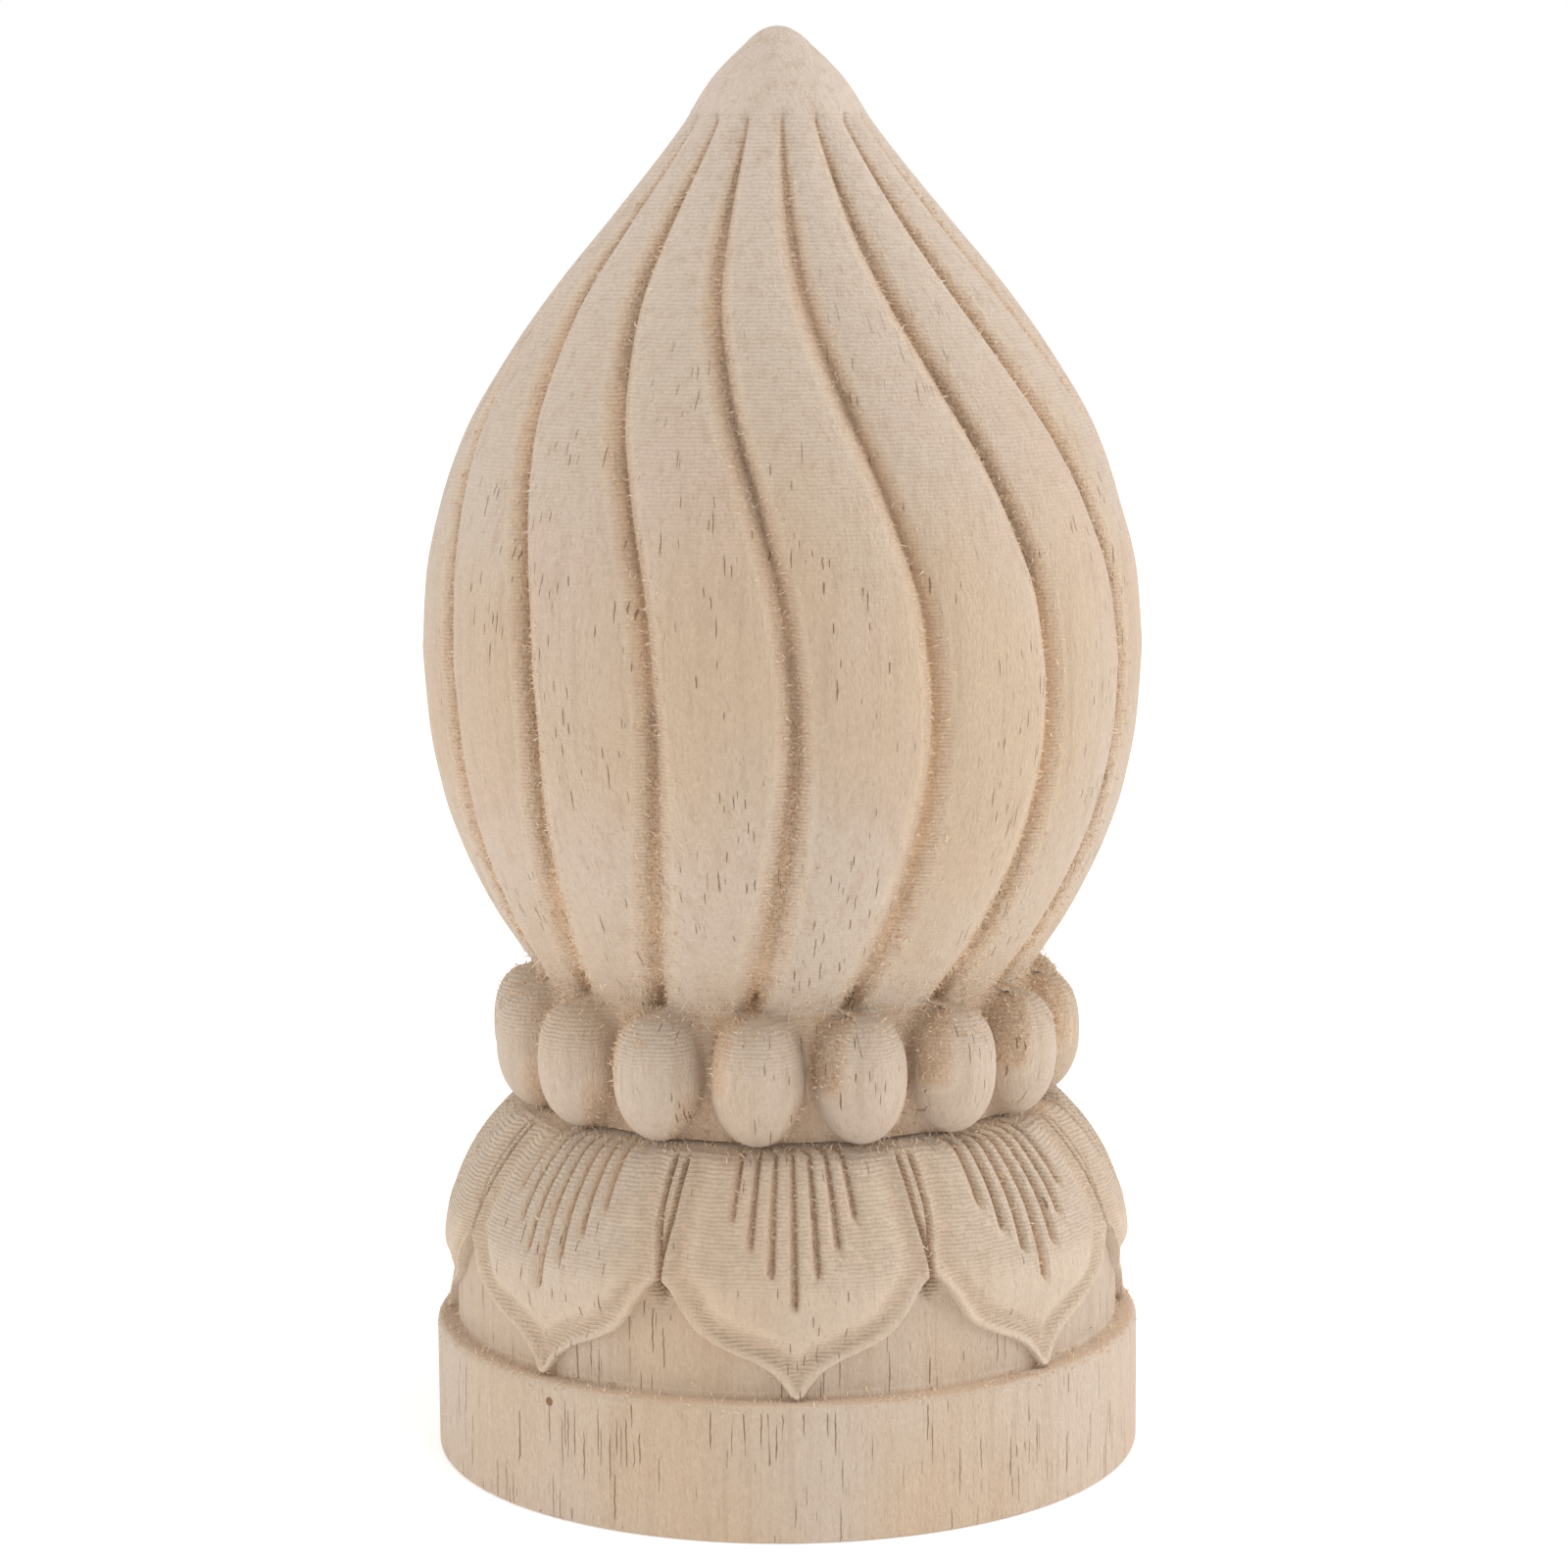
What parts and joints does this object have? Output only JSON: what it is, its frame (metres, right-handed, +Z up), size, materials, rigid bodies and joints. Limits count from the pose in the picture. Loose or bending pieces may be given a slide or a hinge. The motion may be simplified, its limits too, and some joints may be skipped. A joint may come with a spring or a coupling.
{
  "type": "wooden ball finial",
  "caption": "Carved wooden finial: a pointed ball of S-curved lobes on a ring of beads, a cup of lotus petals and a round plinth.",
  "frame": {"origin": "centre of the flat underside of the plinth", "axes": "+Z up along the finial's axis to its tip, -Y towards the front seen in the picture, +X to the right of that view"},
  "size_m": [0.0802, 0.0802, 0.16],
  "materials": {
    "carved_wood": "unfinished pale fine-pored hardwood as it left the carving tool, with fine tool rows, short dark pores and a few torn fibres in the grooves, matt"
  },
  "bodies": {
    "root": {"ball_finial": "carved_wood"}
  },
  "joints": []
}
